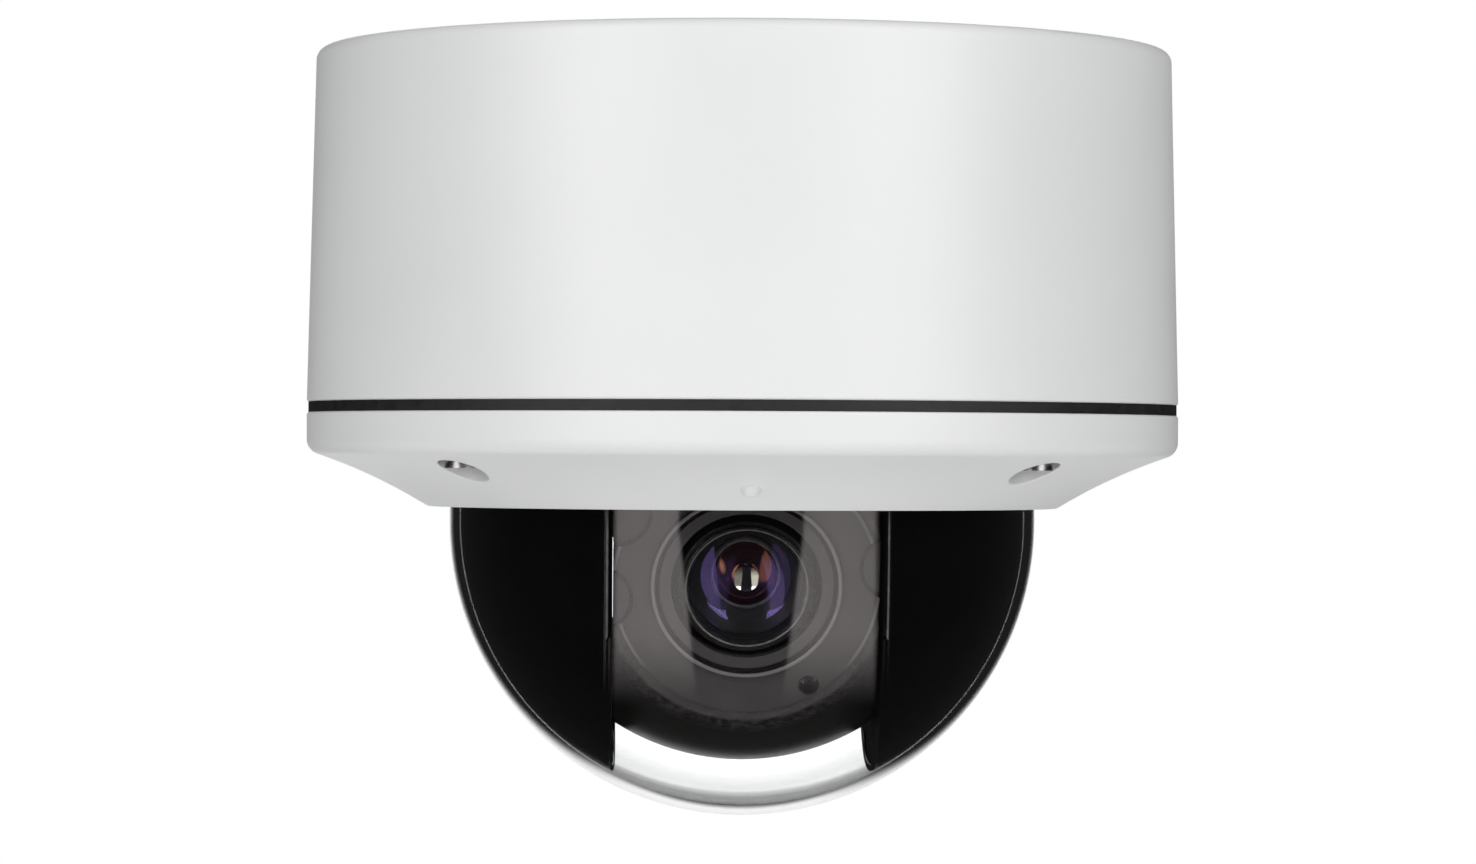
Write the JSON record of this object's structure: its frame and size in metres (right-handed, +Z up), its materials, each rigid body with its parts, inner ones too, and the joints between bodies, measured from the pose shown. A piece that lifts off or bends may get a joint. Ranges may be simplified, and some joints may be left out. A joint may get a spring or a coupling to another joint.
{
  "type": "ptz dome camera",
  "caption": "Hanging pan-tilt-zoom dome camera: round white housing, trim ring, clear bubble, black shrouds and a tilting camera ball.",
  "frame": {"origin": "mouth of the pendant thread, in the middle of the flat top face", "axes": "+Z up out of the top face, -Y the way the lens looks, +X to the right seen from the front"},
  "size_m": [0.22, 0.22, 0.1929],
  "materials": {
    "housing_white": "satin white powder coat with a faint orange peel",
    "seal_rubber": "black moulded silicone",
    "bubble_clear": "clear polished polycarbonate",
    "steel": "plain stainless",
    "zinc_steel": "bright zinc plate",
    "aluminium": "bead-blasted",
    "pulley_metal": "turned",
    "motor_case": "drawn can, satin",
    "belt_rubber": "black fabric-faced belt",
    "black_plastic": "fine texture",
    "board_green": "green solder mask",
    "connector": "tinned shield",
    "terminal_green": "moulded green",
    "shroud_black": "piano black",
    "head_grey": "warm dark grey, fine spark texture",
    "retainer_black": "black anodised",
    "lens_glass": "coated optical glass",
    "sensor_dark": "sensor under a cover glass"
  },
  "bodies": {
    "housing": {"back_box": "housing_white", "trim_ring": "housing_white", "housing_gasket": "seal_rubber", "bubble_gasket": "seal_rubber", "bubble": "bubble_clear", "captive_screws": "steel", "captive_washers": "steel", "clamp_screws": "steel", "chassis_screws": "steel", "mounting_screws": "steel", "pan_bearing_outer": "steel", "board_standoffs": "steel", "bubble_clamp_ring": "zinc_steel", "chassis_plate": "aluminium", "heat_sink": "aluminium", "pan_motor": "motor_case", "pan_belt": "belt_rubber", "fan_frame": "black_plastic", "slip_ring_stator": "black_plastic", "power_parts": "black_plastic", "main_board": "board_green", "ethernet_jack": "connector", "terminal_block": "terminal_green"},
    "pan": {"pan_bearing_inner": "steel", "pan_spindle": "aluminium", "spindle_nut": "steel", "pan_pulley": "pulley_metal", "slip_ring_rotor": "black_plastic", "yoke": "aluminium", "yoke_screws": "steel", "left_shroud": "shroud_black", "right_shroud": "shroud_black", "shroud_screws": "steel", "tilt_bearings": "black_plastic", "tilt_bracket": "zinc_steel", "tilt_motor": "motor_case", "tilt_screws": "steel", "tilt_belt": "belt_rubber", "driver_board": "board_green", "driver_spacers": "steel"},
    "head": {"head_front_shell": "head_grey", "head_rear_shell": "head_grey", "face_screws": "steel", "frame_screws": "steel", "camera_frame": "zinc_steel", "tilt_axles": "aluminium", "tilt_pulley": "pulley_metal", "lens_barrel": "black_plastic", "lens_retainer": "retainer_black", "front_element": "lens_glass", "guide_rods": "steel", "lens_motors": "motor_case", "sensor_board": "board_green", "image_sensor": "sensor_dark"},
    "pan_drive": {"pan_motor_pulley": "pulley_metal"},
    "fan": {"fan_rotor": "black_plastic"},
    "tilt_drive": {"tilt_motor_pulley": "pulley_metal"},
    "zoom": {"zoom_group": "black_plastic"},
    "focus": {"focus_group": "black_plastic"},
    "filter": {"ir_filter": "black_plastic"}
  },
  "joints": [
    {"name": "pan", "type": "hinge", "parent": "housing", "child": "pan", "pos_m": [0, 0, -0.0415], "axis": [0, 0, 1], "continuous": true},
    {"name": "pan_drive", "type": "hinge", "parent": "housing", "child": "pan_drive", "pos_m": [0, 0.062, -0.0493], "axis": [0, 0, 1], "continuous": true},
    {"name": "fan", "type": "hinge", "parent": "housing", "child": "fan", "pos_m": [0, -0.056, -0.033], "axis": [0, 0, 1], "continuous": true},
    {"name": "tilt", "type": "hinge", "parent": "pan", "child": "head", "pos_m": [0, 0, -0.1189], "axis": [1, 0, 0], "range_deg": [-17, 163]},
    {"name": "tilt_drive", "type": "hinge", "parent": "pan", "child": "tilt_drive", "pos_m": [0.0429, 0, -0.0889], "axis": [1, 0, 0], "range_deg": [-60, 500]},
    {"name": "zoom", "type": "slide", "parent": "head", "child": "zoom", "axis": [0, -0.9563, -0.2924], "range_m": [-0.01, 0]},
    {"name": "focus", "type": "slide", "parent": "head", "child": "focus", "axis": [0, -0.9563, -0.2924], "range_m": [-0.004, 0.0015]},
    {"name": "filter_shift", "type": "slide", "parent": "head", "child": "filter", "axis": [1, 0, 0], "range_m": [0, 0.009]}
  ],
  "couplings": [
    {"joint": "pan_drive", "follows": "pan", "ratio": 4},
    {"joint": "tilt_drive", "follows": "tilt", "ratio": 3}
  ]
}
